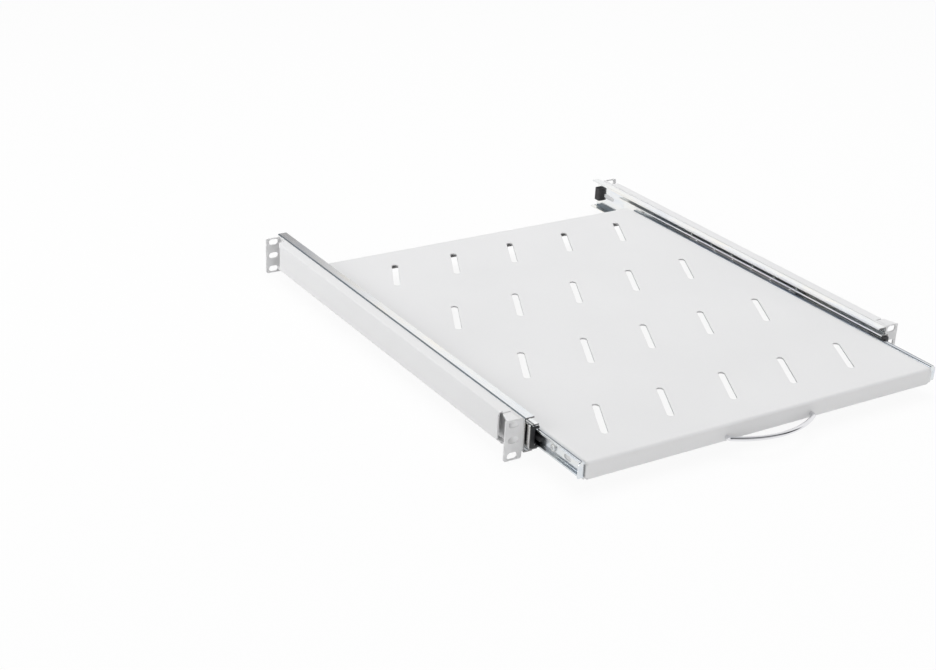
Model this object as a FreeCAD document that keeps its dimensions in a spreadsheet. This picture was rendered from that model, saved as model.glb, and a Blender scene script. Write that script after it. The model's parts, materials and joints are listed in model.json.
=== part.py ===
import FreeCAD, Part
import math
import os
import re
import Sketcher

# A sliding rack shelf: two side rails with rack ears, a three-member ball-bearing slide on each side
# and a slotted steel tray with a bow handle. X points right, Y to the rear and Z up. The origin is the
# centre of the front rack-hole pattern, in the front face of the ears. The tray stands part-way out.

SIZES = {
    # rack ears
    "sheet": 1.5,
    "bend": 0.5,
    "rack_width": 482.6,
    "ear_width": 18.8,
    "ear_height": 41.0,
    "ear_corner": 2.0,
    "hole_inset": 8.75,
    "hole_step": 15.875,
    "hole_length": 11.0,
    "hole_width": 6.8,
    # side rails
    "rail_width": 12.5,
    "rail_strip": 3.0,
    "skirt_height": 31.5,
    "skirt_lip": 6.0,
    "skirt_setback": 22.0,
    "skirt_chamfer": 4.5,
    "lip_start": 10.0,
    "tab_length": 14.6,
    "tab_seam": 0.4,
    "tab_relief": 1.5,
    # slide members
    "slide_height": 35.0,
    "slide_thickness": 12.7,
    "slide_length": 500.0,
    "slide_overhang": 2.0,
    "slide_tail": 8.0,
    "member_wall": 1.2,
    "member_round": 0.5,
    "lip_wall": 1.6,
    "outer_reach": 10.4,
    "middle_reach": 11.4,
    "middle_setback": 30.0,
    "middle_gap": 7.5,
    "end_tab": 6.8,
    "tab_round": 4.0,
    "tab_foot": 1.0,
    "web_gap": 1.2,
    "inner_gap": 4.6,
    "race_gap": 3.2,
    # balls and cages
    "ball_radius": 2.0,
    "ball_play": 0.05,
    "ball_inset": 10.0,
    "outer_ball_place": 5.4,
    "inner_ball_place": 9.6,
    "cage_wall": 0.6,
    "cage_edge": 0.6,
    "outer_cage_length": 200.0,
    "outer_cage_setback": 135.0,
    "inner_cage_length": 180.0,
    "inner_cage_setback": 178.0,
    # slots pressed in the slide members
    "web_slot_length": 20.0,
    "web_slot_width": 5.0,
    "web_slot_place": 24.0,
    "middle_slot_length": 32.0,
    "middle_slot_width": 7.0,
    "middle_slot_place": 38.0,
    "inner_slot_length": 10.0,
    "inner_slot_width": 4.5,
    "inner_slot_place": 24.0,
    # end stops
    "stop_thickness": 1.5,
    "stop_inset": 2.0,
    "stop_play": 0.6,
    "tongue_length": 26.0,
    "tongue_height": 20.0,
    "tongue_wall": 0.8,
    "window_place": 4.5,
    "window_length": 5.0,
    "window_height": 10.0,
    "notch_length": 4.5,
    "notch_height": 19.0,
    "window_play": 0.1,
    # rear bumpers
    "bumper_height": 15.0,
    "bumper_depth": 6.0,
    "bumper_length": 10.5,
    "bumper_gap": 1.5,
    "bumper_seat": 11.5,
    "bumper_round": 2.5,
    "stem_radius": 2.0,
    "stem_place": 7.0,
    "stem_end": 1.0,
    "stem_play": 0.1,
    # release levers
    "lever_place": 100.0,
    "lever_front": 38.0,
    "lever_tail": 16.0,
    "lever_height": 6.0,
    "lever_tip": 4.0,
    "lever_thickness": 3.0,
    "lever_play": 0.1,
    "pin_radius": 1.5,
    "pin_play": 0.05,
    "pin_head_radius": 2.6,
    "pin_head": 0.9,
    # tray
    "pull": 76.0,
    "tray_lead": 2.0,
    "tray_tail": 11.0,
    "tray_rise": 7.5,
    "tray_bend": 1.5,
    "tray_flange": 18.0,
    "tray_lip": 8.0,
    "flange_cut": 3.0,
    "corner_gap": 1.5,
    "slot_length": 58.0,
    "slot_width": 7.0,
    "slot_angle": 27.0,
    "slot_across": 75.0,
    "slot_front": 62.5,
    # handle
    "handle_span": 103.0,
    "handle_rod": 4.5,
    "handle_reach": 20.0,
    "handle_leg": 2.0,
    "handle_bend": 4.0,
    "handle_drop": 13.0,
    "handle_screw": 1.25,
    "handle_screw_depth": 3.0,
    "handle_head_radius": 2.4,
    "handle_head": 1.6,
    # screws, nuts and rivets
    "screw_radius": 2.0,
    "screw_play": 0.15,
    "thread_play": 0.02,
    "screw_head_radius": 3.5,
    "screw_head": 2.0,
    "screw_first": 45.0,
    "screw_end": 0.8,
    "nut_width": 7.0,
    "nut_height": 3.2,
    "rivet_radius": 2.0,
    "rivet_head_radius": 3.5,
    "rivet_head": 1.5,
    "rivet_play": 0.1,
    "rivet_first": 60.0,
    "head_round": 0.8,
}
SLOT_COLUMNS = 5
SLOT_ROWS = 4
BALL_COUNT = 6
SCREW_COUNT = 4
RIVET_COUNT = 4
HANDLE_SCREW_COUNT = 2
# Names of a sketch's origin and of the points of a curve in it
START, END, CENTRE = range(1, 4)
SKETCH_ORIGIN = -START

doc = FreeCAD.newDocument("sliding_rack_shelf")
sizes = doc.addObject("Spreadsheet::Sheet", "sizes")
for row, (name, value) in enumerate(SIZES.items(), start=1):
    sizes.set("A%d" % row, name)
    sizes.set("B%d" % row, str(value))
    sizes.setAlias("B%d" % row, name)
doc.recompute()


# A place or length is written as terms with spaces between them, such as "rail_width - sheet*2".
def number(text):
    total = 0.0
    sign = 1.0
    for word in text.split():
        if word in ("+", "-"):
            sign = 1.0 if word == "+" else -1.0
            continue
        name, *factors = re.split("([*/])", word)
        value = getattr(sizes, name) if name in SIZES else float(name)
        for mark, factor in zip(factors[0::2], factors[1::2]):
            value = value * float(factor) if mark == "*" else value / float(factor)
        total += sign * value
        sign = 1.0
    return total


def formula(text):
    words = []
    for word in text.split():
        known = re.split("[*/]", word)[0] in SIZES
        words.append("sizes." + word if known else word)
    return " ".join(words)


def less(text):
    swap = {"+": "-", "-": "+"}
    words = [swap.get(word, word) for word in text.split()]
    if words[0] in ("+", "-"):
        return " ".join(words)
    return "- " + " ".join(words)


def plus(text, more):
    return text + " + " + more


def minus(text, more):
    return text + " " + less(more)


def part_of(text, top, bottom):
    share = "*%d/%d" % (top, bottom)
    return " ".join(word if word in ("+", "-") else word + share for word in text.split())


def new_body(name, x="0", y="0", z="0"):
    body = doc.addObject("PartDesign::Body", name)
    body.Label = name
    body.setExpression("Placement.Base.x", formula(x))
    body.setExpression("Placement.Base.y", formula(y))
    body.setExpression("Placement.Base.z", formula(z))
    return body


def origin(body, role):
    for feature in body.Origin.OriginFeatures:
        if feature.Role == role:
            return feature
    raise ValueError(role)


def new_sketch(body, name, plane, offset="0"):
    sketch = body.newObject("Sketcher::SketchObject", name)
    sketch.AttachmentSupport = (origin(body, plane), [""])
    sketch.MapMode = "FlatFace"
    sketch.setExpression("AttachmentOffset.Base.z", formula(offset))
    return sketch


def bind(sketch, rules):
    first = sketch.ConstraintCount
    sketch.addConstraint([rule for rule, text in rules])
    for step, (rule, text) in enumerate(rules):
        if text is not None:
            sketch.setExpression("Constraints[%d]" % (first + step), formula(text))


def hold_point(curve, end, across, up):
    return [
        (Sketcher.Constraint("DistanceX", SKETCH_ORIGIN, START, curve, end, number(across)), across),
        (Sketcher.Constraint("DistanceY", SKETCH_ORIGIN, START, curve, end, number(up)), up),
    ]


# A closed outline. A corner is (across, up), or (across, up, radius) where the edges beside it are square.
def outline(sketch, corners):
    count = len(corners)
    spots = [FreeCAD.Vector(number(corner[0]), number(corner[1]), 0) for corner in corners]
    before = []
    after = []
    for index, corner in enumerate(corners):
        if len(corner) == 2:
            before.append((corner[0], corner[1]))
            after.append((corner[0], corner[1]))
            continue
        for neighbour, places in ((index - 1, before), ((index + 1) % count, after)):
            way = spots[neighbour] - spots[index]
            across, up, radius = corner
            if abs(way.x) > abs(way.y):
                across = plus(across, radius) if way.x > 0 else minus(across, radius)
            else:
                up = plus(up, radius) if way.y > 0 else minus(up, radius)
            places.append((across, up))
    rules = []
    lines = []
    for index in range(count):
        start = after[index]
        end = before[(index + 1) % count]
        line = Part.LineSegment(
            FreeCAD.Vector(number(start[0]), number(start[1]), 0),
            FreeCAD.Vector(number(end[0]), number(end[1]), 0),
        )
        lines.append(sketch.addGeometry(line, False))
        rules += hold_point(lines[-1], START, *start)
        if len(corners[(index + 1) % count]) == 3:
            rules += hold_point(lines[-1], END, *end)
    for index, corner in enumerate(corners):
        line_in = lines[index - 1]
        line_out = lines[index]
        if len(corner) == 2:
            rules.append((Sketcher.Constraint("Coincident", line_in, END, line_out, START), None))
            continue
        start = FreeCAD.Vector(number(before[index][0]), number(before[index][1]), 0)
        end = FreeCAD.Vector(number(after[index][0]), number(after[index][1]), 0)
        centre = start + end - spots[index]
        first = math.atan2(start.y - centre.y, start.x - centre.x)
        last = math.atan2(end.y - centre.y, end.x - centre.x)
        turns_left = (last - first) % (2 * math.pi) < math.pi
        circle = Part.Circle(centre, FreeCAD.Vector(0, 0, 1), number(corner[2]))
        if turns_left:
            arc = sketch.addGeometry(Part.ArcOfCircle(circle, first, last), False)
            ends = (START, END)
        else:
            arc = sketch.addGeometry(Part.ArcOfCircle(circle, last, first), False)
            ends = (END, START)
        rules.append((Sketcher.Constraint("Coincident", line_in, END, arc, ends[0]), None))
        rules.append((Sketcher.Constraint("Coincident", line_out, START, arc, ends[1]), None))
        rules.append((Sketcher.Constraint("Radius", arc, number(corner[2])), corner[2]))
    bind(sketch, rules)


def circle(sketch, across, up, radius):
    spot = FreeCAD.Vector(number(across), number(up), 0)
    ring = sketch.addGeometry(Part.Circle(spot, FreeCAD.Vector(0, 0, 1), number(radius)), False)
    rules = hold_point(ring, CENTRE, across, up)
    rules.append((Sketcher.Constraint("Radius", ring, number(radius)), radius))
    bind(sketch, rules)


# A slot with round ends that runs across the sketch.
def slot(sketch, across, up, length, width):
    half = length + "/2 - " + width + "/2"
    left = minus(across, half)
    right = plus(across, half)
    radius = number(width) / 2
    low_left = FreeCAD.Vector(number(left), number(up) - radius, 0)
    low_right = FreeCAD.Vector(number(right), number(up) - radius, 0)
    top_left = FreeCAD.Vector(number(left), number(up) + radius, 0)
    top_right = FreeCAD.Vector(number(right), number(up) + radius, 0)
    normal = FreeCAD.Vector(0, 0, 1)
    quarter = math.pi / 2
    middle_left = FreeCAD.Vector(number(left), number(up), 0)
    middle_right = FreeCAD.Vector(number(right), number(up), 0)
    low = sketch.addGeometry(Part.LineSegment(low_left, low_right), False)
    end = sketch.addGeometry(
        Part.ArcOfCircle(Part.Circle(middle_right, normal, radius), -quarter, quarter), False
    )
    top = sketch.addGeometry(Part.LineSegment(top_right, top_left), False)
    start = sketch.addGeometry(
        Part.ArcOfCircle(Part.Circle(middle_left, normal, radius), quarter, 3 * quarter), False
    )
    rules = [
        (Sketcher.Constraint("Tangent", low, END, end, START), None),
        (Sketcher.Constraint("Tangent", end, END, top, START), None),
        (Sketcher.Constraint("Tangent", top, END, start, START), None),
        (Sketcher.Constraint("Tangent", start, END, low, START), None),
        (Sketcher.Constraint("Radius", end, radius), width + "/2"),
    ]
    rules += hold_point(start, CENTRE, left, up)
    rules += hold_point(end, CENTRE, right, up)
    bind(sketch, rules)


def pad(body, sketch, length, backwards=False):
    feature = body.newObject("PartDesign::Pad", sketch.Name + "_pad")
    feature.Profile = sketch
    feature.setExpression("Length", formula(length))
    feature.Reversed = backwards
    body.Tip = feature
    return feature


def pocket(body, sketch, length, backwards=False):
    feature = body.newObject("PartDesign::Pocket", sketch.Name + "_cut")
    feature.Profile = sketch
    feature.setExpression("Length", formula(length))
    feature.Reversed = backwards
    body.Tip = feature
    return feature


def revolve(body, sketch, axis):
    feature = body.newObject("PartDesign::Revolution", sketch.Name + "_turned")
    feature.Profile = sketch
    feature.ReferenceAxis = (sketch, [axis])
    feature.Angle = 360
    body.Tip = feature
    return feature


def row_of(body, features, axis, length, count):
    doc.recompute()
    feature = body.newObject("PartDesign::LinearPattern", features[0].Name + "_row")
    feature.Originals = features
    feature.Direction = (origin(body, axis), [""])
    feature.setExpression("Length", formula(length))
    feature.Occurrences = count
    body.Tip = feature
    return feature


nodes = []


# The other side of the shelf is the mirror image.
def both_sides(body):
    twin = doc.addObject("Part::Mirroring", body.Name.replace("left_", "right_"))
    twin.Label = twin.Name
    twin.Source = body
    twin.Base = FreeCAD.Vector(0, 0, 0)
    twin.Normal = FreeCAD.Vector(1, 0, 0)
    nodes.extend([body, twin])


# Shared places
OUTER_BEND = "bend + sheet"
TRAY_BEND = "tray_bend + sheet"
RAIL_FACE = "rack_width/2 - ear_width"
RAIL_DEPTH = "slide_length - slide_overhang - slide_tail"
FLANGE_START = "tab_length + tab_relief"
SLIDE_CENTRE = "ear_height/2 - slide_height/2"
HALF_TRAY = RAIL_FACE + " - slide_thickness"
BUMPER_FRONT = "slide_length - bumper_seat"
INNER_LENGTH = BUMPER_FRONT + " - bumper_gap"
MIDDLE_LENGTH = BUMPER_FRONT + " - middle_gap - middle_setback - slide_overhang"
TRAY_DEPTH = INNER_LENGTH + " + tray_lead + tray_tail"
SCREW_ROW = INNER_LENGTH + " - screw_first*2"
RIVET_ROW = RAIL_DEPTH + " - rivet_first*2"
INNER_FRONT = "- slide_overhang - pull"
MIDDLE_FRONT = "middle_setback - pull/2"
TRAY_FRONT = INNER_FRONT + " - tray_lead"
TRAY_TOP = SLIDE_CENTRE + " + tray_rise"

# Half heights of the nested slide members and of the two ball rows
OUTER_FACE = "slide_height/2"
OUTER_INSIDE = "slide_height/2 - lip_wall"
OUTER_BALL = OUTER_INSIDE + " - race_gap/2"
MIDDLE_FACE = OUTER_INSIDE + " - race_gap"
MIDDLE_INSIDE = MIDDLE_FACE + " - lip_wall"
INNER_BALL = MIDDLE_INSIDE + " - race_gap/2"
INNER_FACE = MIDDLE_INSIDE + " - race_gap"
INNER_INSIDE = INNER_FACE + " - lip_wall"

# Distances of the nested webs from the rail
MIDDLE_START = "member_wall + web_gap"
MIDDLE_WEB = MIDDLE_START + " + member_wall"
INNER_START = MIDDLE_WEB + " + inner_gap"
INNER_WEB = "slide_thickness - member_wall"
OUTER_ROUND = "member_round + member_wall"
LEVER_BACK = INNER_WEB + " - lever_play"
LEVER_FACE = LEVER_BACK + " - lever_thickness"
PIN_HEAD = LEVER_FACE + " - lever_play"
PIN_FACE = PIN_HEAD + " - pin_head"


# Side rail: a folded channel, with a rack ear at each end
def make_rail():
    body = new_body("left_side_rail", less(RAIL_FACE), "0", "ear_height/2")
    web = new_sketch(body, "rail_web", "XZ_Plane")
    outline(web, [
        ("0", "0", OUTER_BEND),
        ("- rail_strip", "0"),
        ("- rail_strip", "- sheet"),
        ("- sheet", "- sheet", "bend"),
        ("- sheet", "- slide_height"),
        ("0", "- slide_height"),
    ])
    pad(body, web, RAIL_DEPTH, True)

    channel = new_sketch(body, "rail_channel", "XZ_Plane", less(FLANGE_START))
    outline(channel, [
        ("- sheet", "0"),
        ("- rail_width", "0", OUTER_BEND),
        ("- rail_width", "- skirt_height", OUTER_BEND),
        ("- rail_width + skirt_lip", "- skirt_height"),
        ("- rail_width + skirt_lip", "- skirt_height + sheet"),
        ("- rail_width + sheet", "- skirt_height + sheet", "bend"),
        ("- rail_width + sheet", "- sheet", "bend"),
        ("- sheet", "- sheet"),
    ])
    pad(body, channel, RAIL_DEPTH + " - tab_length*2 - tab_relief*2", True)

    lip = new_sketch(body, "rail_lip", "XZ_Plane", "- lip_start")
    outline(lip, [
        ("- rail_width + bend + sheet", "- skirt_height"),
        ("- rail_width + skirt_lip", "- skirt_height"),
        ("- rail_width + skirt_lip", "- skirt_height + sheet"),
        ("- rail_width + bend + sheet", "- skirt_height + sheet"),
    ])
    pad(body, lip, RAIL_DEPTH + " - lip_start*2", True)

    for name, start in (("front_ear", "0"), ("rear_ear", plus(less(RAIL_DEPTH), "sheet"))):
        ear = new_sketch(body, name, "XZ_Plane", start)
        outline(ear, [
            ("0", "0", OUTER_BEND),
            ("- ear_width", "0", "ear_corner"),
            ("- ear_width", "- ear_height", "ear_corner"),
            ("0", "- ear_height", "ear_corner"),
        ])
        for up in ("- ear_height/2 + hole_step", "- ear_height/2", "- ear_height/2 - hole_step"):
            slot(ear, "- ear_width + hole_inset", up, "hole_length", "hole_width")
        pad(body, ear, "sheet", True)

    tab = new_sketch(body, "ear_tab", "XY_Plane")
    outline(tab, [
        ("- rail_strip - tab_seam", "sheet"),
        ("- rail_strip - tab_seam", "tab_length"),
        ("- rail_width", "tab_length"),
        ("- ear_width + ear_corner", "sheet"),
    ])
    pad(body, tab, "sheet", True)

    ends = new_sketch(body, "skirt_ends", "YZ_Plane", "- rail_width - sheet")
    top_front = "skirt_setback - skirt_chamfer"
    outline(ends, [
        ("tab_length + tab_relief/2", "- skirt_height + bend + sheet"),
        ("skirt_setback", "- skirt_height + bend + sheet"),
        ("skirt_setback", "- skirt_chamfer"),
        (top_front, "sheet"),
        ("tab_length + tab_relief/2", "sheet"),
    ])
    outline(ends, [
        (RAIL_DEPTH + " - tab_length - tab_relief/2", "- skirt_height + bend + sheet"),
        (RAIL_DEPTH + " - tab_length - tab_relief/2", "sheet"),
        (RAIL_DEPTH + " - skirt_setback + skirt_chamfer", "sheet"),
        (RAIL_DEPTH + " - skirt_setback", "- skirt_chamfer"),
        (RAIL_DEPTH + " - skirt_setback", "- skirt_height + bend + sheet"),
    ])
    pocket(body, ends, "sheet*2 + bend", True)

    holes = new_sketch(body, "rail_rivet_hole", "YZ_Plane", "sheet")
    circle(holes, "rivet_first", "- slide_height/2", "rivet_radius + rivet_play")
    row_of(body, [pocket(body, holes, "sheet*3")], "Y_Axis", RIVET_ROW, RIVET_COUNT)
    both_sides(body)


# Slide members: long channels one inside the other, with a ball groove along every lip
def slide_body(name, start):
    return new_body(name, less(RAIL_FACE), start, SLIDE_CENTRE)


def ball_grooves(body, name, place, height, length):
    grooves = new_sketch(body, name, "XZ_Plane")
    circle(grooves, place, height, "ball_radius + ball_play")
    circle(grooves, place, less(height), "ball_radius + ball_play")
    pocket(body, grooves, length)


def make_outer_member():
    body = slide_body("left_outer_member", "- slide_overhang")
    shape = new_sketch(body, "outer_shape", "XZ_Plane")
    outline(shape, [
        ("0", OUTER_FACE, OUTER_ROUND),
        ("0", less(OUTER_FACE), OUTER_ROUND),
        ("outer_reach", less(OUTER_FACE)),
        ("outer_reach", less(OUTER_INSIDE)),
        ("member_wall", less(OUTER_INSIDE), "member_round"),
        ("member_wall", OUTER_INSIDE, "member_round"),
        ("outer_reach", OUTER_INSIDE),
        ("outer_reach", OUTER_FACE),
    ])
    pad(body, shape, "slide_length", True)
    ball_grooves(body, "outer_groove", "outer_ball_place", OUTER_BALL, "slide_length")
    slots = new_sketch(body, "outer_web_slots", "YZ_Plane", "member_wall*2")
    slot(slots, "web_slot_place", "0", "web_slot_length", "web_slot_width")
    slot(slots, "slide_length - web_slot_place", "0", "web_slot_length", "web_slot_width")
    circle(slots, BUMPER_FRONT + " + stem_place", "0", "stem_radius + stem_play")
    pocket(body, slots, "member_wall*3")
    holes = new_sketch(body, "outer_rivet_hole", "YZ_Plane", "member_wall*2")
    circle(holes, "rivet_first + slide_overhang", "0", "rivet_radius + rivet_play")
    row_of(body, [pocket(body, holes, "member_wall*3")], "Y_Axis", RIVET_ROW, RIVET_COUNT)
    both_sides(body)


# The window for the end stop's catch: a block at the front and a taller notch behind it
def catch_outline(sketch, play):
    front = plus("window_place", play)
    step = plus("window_place + window_length", play)
    rear = minus("window_place + window_length + notch_length", play)
    block = minus("window_height/2", play)
    notch = minus("notch_height/2", play)
    outline(sketch, [
        (front, less(block)),
        (step, less(block)),
        (step, less(notch)),
        (rear, less(notch)),
        (rear, notch),
        (step, notch),
        (step, block),
        (front, block),
    ])


def make_middle_member():
    body = slide_body("left_middle_member", MIDDLE_FRONT)
    shape = new_sketch(body, "middle_shape", "XZ_Plane")
    outline(shape, [
        (MIDDLE_START, MIDDLE_FACE, OUTER_ROUND),
        (MIDDLE_START, less(MIDDLE_FACE), OUTER_ROUND),
        ("middle_reach", less(MIDDLE_FACE)),
        ("middle_reach", less(MIDDLE_INSIDE)),
        (MIDDLE_WEB, less(MIDDLE_INSIDE), "member_round"),
        (MIDDLE_WEB, MIDDLE_INSIDE, "member_round"),
        ("middle_reach", MIDDLE_INSIDE),
        ("middle_reach", MIDDLE_FACE),
    ])
    pad(body, shape, MIDDLE_LENGTH, True)
    ball_grooves(body, "middle_outside_groove", "outer_ball_place", OUTER_BALL, MIDDLE_LENGTH)
    ball_grooves(body, "middle_inside_groove", "inner_ball_place", INNER_BALL, MIDDLE_LENGTH)
    slots = new_sketch(body, "middle_web_slots", "YZ_Plane", MIDDLE_WEB + " + member_wall")
    slot(slots, "middle_slot_place", "0", "middle_slot_length", "middle_slot_width")
    catch_outline(slots, "0")
    pocket(body, slots, "member_wall*3")
    both_sides(body)


def make_inner_member():
    body = slide_body("left_inner_member", INNER_FRONT)
    shape = new_sketch(body, "inner_shape", "XZ_Plane")
    outline(shape, [
        ("slide_thickness", INNER_FACE, OUTER_ROUND),
        (INNER_START, INNER_FACE),
        (INNER_START, INNER_INSIDE),
        (INNER_WEB, INNER_INSIDE, "member_round"),
        (INNER_WEB, less(INNER_INSIDE), "member_round"),
        (INNER_START, less(INNER_INSIDE)),
        (INNER_START, less(INNER_FACE)),
        ("slide_thickness", less(INNER_FACE), OUTER_ROUND),
    ])
    pad(body, shape, INNER_LENGTH, True)
    ball_grooves(body, "inner_groove", "inner_ball_place", INNER_BALL, INNER_LENGTH)
    end = new_sketch(body, "inner_end_tab", "XZ_Plane")
    outline(end, [
        ("slide_thickness", INNER_FACE, OUTER_ROUND),
        ("slide_thickness - end_tab", INNER_FACE, "tab_round"),
        ("slide_thickness - end_tab", less(INNER_FACE), "tab_foot"),
        ("slide_thickness", less(INNER_FACE), OUTER_ROUND),
    ])
    pad(body, end, "member_wall", True)
    holes = new_sketch(body, "inner_screw_hole", "YZ_Plane", "slide_thickness + member_wall")
    circle(holes, "screw_first", "0", "screw_radius + screw_play")
    row_of(body, [pocket(body, holes, "member_wall*3")], "Y_Axis", SCREW_ROW, SCREW_COUNT)
    slots = new_sketch(body, "inner_web_slots", "YZ_Plane", "slide_thickness + member_wall")
    slot(slots, "inner_slot_place", "0", "inner_slot_length", "inner_slot_width")
    circle(slots, "lever_place", "0", "pin_radius + pin_play")
    pocket(body, slots, "member_wall*3")
    both_sides(body)


# Ball cages: thin channels with a hole for every ball
def make_cage(stage, start, web, height, place, length):
    body = slide_body("left_" + stage + "_cage", start)
    shape = new_sketch(body, stage + "_cage_shape", "XZ_Plane")
    edge = place + " + ball_radius + cage_edge"
    web_back = web + " + cage_wall"
    top = height + " + cage_wall/2"
    under = height + " - cage_wall/2"
    outline(shape, [
        (web, top),
        (web, less(top)),
        (edge, less(top)),
        (edge, less(under)),
        (web_back, less(under)),
        (web_back, under),
        (edge, under),
        (edge, top),
    ])
    pad(body, shape, length, True)
    holes = new_sketch(body, stage + "_cage_hole", "XY_Plane", top + " + cage_wall")
    circle(holes, place, "ball_inset", "ball_radius + ball_play")
    cut = pocket(body, holes, plus(plus(top, top), "cage_wall*2"))
    row_of(body, [cut], "Y_Axis", length + " - ball_inset*2", BALL_COUNT)
    both_sides(body)


def make_balls(stage, start, height, place, length):
    body = slide_body("left_" + stage + "_balls", start)
    rows = []
    for name, up in (("upper", height), ("lower", less(height))):
        ball = body.newObject("PartDesign::AdditiveSphere", stage + "_ball_" + name)
        ball.setExpression("Radius", formula("ball_radius"))
        ball.setExpression("Placement.Base.x", formula(place))
        ball.setExpression("Placement.Base.y", formula("ball_inset"))
        ball.setExpression("Placement.Base.z", formula(up))
        body.Tip = ball
        rows.append(ball)
    row_of(body, rows, "Y_Axis", length + " - ball_inset*2", BALL_COUNT)
    both_sides(body)


# End stop: a plastic cap on the front of the middle member, held by a tongue with a catch
def make_end_stop():
    body = slide_body("left_end_stop", MIDDLE_FRONT)
    rim = MIDDLE_FACE + " - stop_inset"
    mouth = INNER_FACE + " + stop_play"
    mouth_start = PIN_FACE + " - stop_play"
    cap = new_sketch(body, "stop_cap", "XZ_Plane")
    outline(cap, [
        (MIDDLE_START, rim, OUTER_ROUND),
        (MIDDLE_START, less(rim), OUTER_ROUND),
        ("middle_reach", less(rim)),
        ("middle_reach", less(mouth)),
        (mouth_start, less(mouth)),
        (mouth_start, mouth),
        ("middle_reach", mouth),
        ("middle_reach", rim),
    ])
    pad(body, cap, "stop_thickness")
    tongue = new_sketch(body, "stop_tongue", "XZ_Plane")
    outline(tongue, [
        (MIDDLE_WEB, "- tongue_height/2"),
        (MIDDLE_WEB + " + tongue_wall", "- tongue_height/2"),
        (MIDDLE_WEB + " + tongue_wall", "tongue_height/2"),
        (MIDDLE_WEB, "tongue_height/2"),
    ])
    pad(body, tongue, "tongue_length", True)
    catch = new_sketch(body, "stop_catch", "YZ_Plane", MIDDLE_START + " + window_play")
    catch_outline(catch, "window_play")
    pad(body, catch, "member_wall")
    both_sides(body)


# Bumper: a rubber block with rounded corners at the rear of the outer member, with a stem through the web
def make_bumper():
    body = slide_body("left_bumper", "- slide_overhang + " + BUMPER_FRONT)
    block = new_sketch(body, "bumper_block", "XY_Plane", "- bumper_height/2")
    outline(block, [
        ("member_wall", "0"),
        ("member_wall + bumper_depth", "0", "bumper_round"),
        ("member_wall + bumper_depth", "bumper_length", "bumper_round"),
        ("member_wall", "bumper_length"),
    ])
    pad(body, block, "bumper_height")
    stem = new_sketch(body, "bumper_stem", "YZ_Plane", "- stem_end")
    circle(stem, "stem_place", "0", "stem_radius")
    pad(body, stem, "stem_end + member_wall*2")
    both_sides(body)


# Release lever in the hollow of the inner member, on a headed pin
def make_lever():
    body = slide_body("left_release_lever", INNER_FRONT + " + lever_place")
    shape = new_sketch(body, "lever_shape", "YZ_Plane", LEVER_FACE)
    outline(shape, [
        ("- lever_height", "lever_height/2"),
        ("- lever_front + lever_height*2", "lever_tip/4"),
        ("- lever_front + lever_height", "lever_tip/2"),
        ("- lever_front", "lever_tip/2"),
        ("- lever_front", "- lever_tip/2"),
        ("- lever_height", "- lever_height/2"),
        ("lever_height", "- lever_height/2"),
        ("lever_tail", "- lever_tip/2"),
        ("lever_tail", "lever_tip/2"),
        ("lever_height", "lever_height/2"),
    ])
    circle(shape, "0", "0", "pin_radius + pin_play")
    pad(body, shape, "lever_thickness")
    both_sides(body)

    pin = slide_body("left_lever_pin", INNER_FRONT + " + lever_place")
    profile = new_sketch(pin, "pin_profile", "XY_Plane")
    outline(profile, [
        (PIN_FACE, "0"),
        ("slide_thickness", "0"),
        ("slide_thickness", "pin_radius"),
        (PIN_HEAD, "pin_radius"),
        (PIN_HEAD, "pin_head_radius"),
        (PIN_FACE, "pin_head_radius", "pin_head/2"),
    ])
    revolve(pin, profile, "H_Axis")
    both_sides(pin)


# Screws, nuts and rivets
def make_tray_screws():
    start = INNER_FRONT + " + screw_first"
    body = slide_body("left_tray_screws", start)
    profile = new_sketch(body, "tray_screw_profile", "XY_Plane")
    tip = "slide_thickness + sheet + nut_height + screw_end"
    outline(profile, [
        (INNER_WEB + " - screw_head", "0"),
        (tip, "0"),
        (tip, "screw_radius"),
        (INNER_WEB, "screw_radius"),
        (INNER_WEB, "screw_head_radius"),
        (INNER_WEB + " - screw_head", "screw_head_radius", "head_round"),
    ])
    row_of(body, [revolve(body, profile, "H_Axis")], "Y_Axis", SCREW_ROW, SCREW_COUNT)
    both_sides(body)

    nuts = slide_body("left_tray_nuts", start)
    hexagon = new_sketch(nuts, "tray_nut_hexagon", "YZ_Plane", "slide_thickness + sheet")
    tall = "nut_width*0.57735"
    short = "nut_width*0.288675"
    outline(hexagon, [
        ("0", tall),
        ("- nut_width/2", short),
        ("- nut_width/2", less(short)),
        ("0", less(tall)),
        ("nut_width/2", less(short)),
        ("nut_width/2", short),
    ])
    circle(hexagon, "0", "0", "screw_radius + thread_play")
    row_of(nuts, [pad(nuts, hexagon, "nut_height")], "Y_Axis", SCREW_ROW, SCREW_COUNT)
    both_sides(nuts)


def make_rail_rivets():
    body = slide_body("left_rail_rivets", "rivet_first")
    profile = new_sketch(body, "rivet_profile", "XY_Plane")
    outline(profile, [
        ("- sheet - rivet_head", "0"),
        ("member_wall", "0"),
        ("member_wall", "rivet_radius"),
        ("- sheet", "rivet_radius"),
        ("- sheet", "rivet_head_radius"),
        ("- sheet - rivet_head", "rivet_head_radius", "head_round"),
    ])
    row_of(body, [revolve(body, profile, "H_Axis")], "Y_Axis", RIVET_ROW, RIVET_COUNT)
    both_sides(body)


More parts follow.
